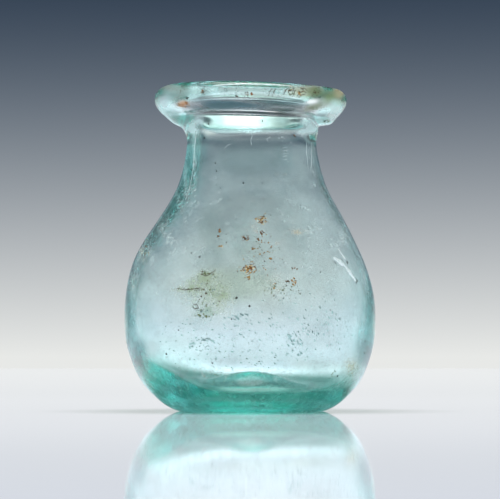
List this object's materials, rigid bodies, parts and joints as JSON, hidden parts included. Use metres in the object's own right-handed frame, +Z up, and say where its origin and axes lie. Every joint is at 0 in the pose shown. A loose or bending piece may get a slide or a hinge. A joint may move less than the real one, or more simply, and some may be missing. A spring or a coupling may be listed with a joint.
{
  "type": "glass jar",
  "caption": "Small ancient blown-glass jar: pear-shaped body, short concave neck, flared rim folded over into a round edge, thick pushed-in base.",
  "frame": {"origin": "on the surface that the jar stands on, below the middle of its bounding box", "axes": "+Z up along the jar from its base to its mouth, -Y towards the side that the picture shows, +X to that view's right"},
  "size_m": [0.046, 0.046, 0.0594],
  "materials": {
    "aqua_glass": "clear pale blue-green glass, glossy, with small bubbles and light weathering",
    "burial_deposit": "matt rust-brown and olive earth left in small patches on the glass"
  },
  "bodies": {
    "root": {"glass_jar": "aqua_glass"}
  },
  "joints": []
}
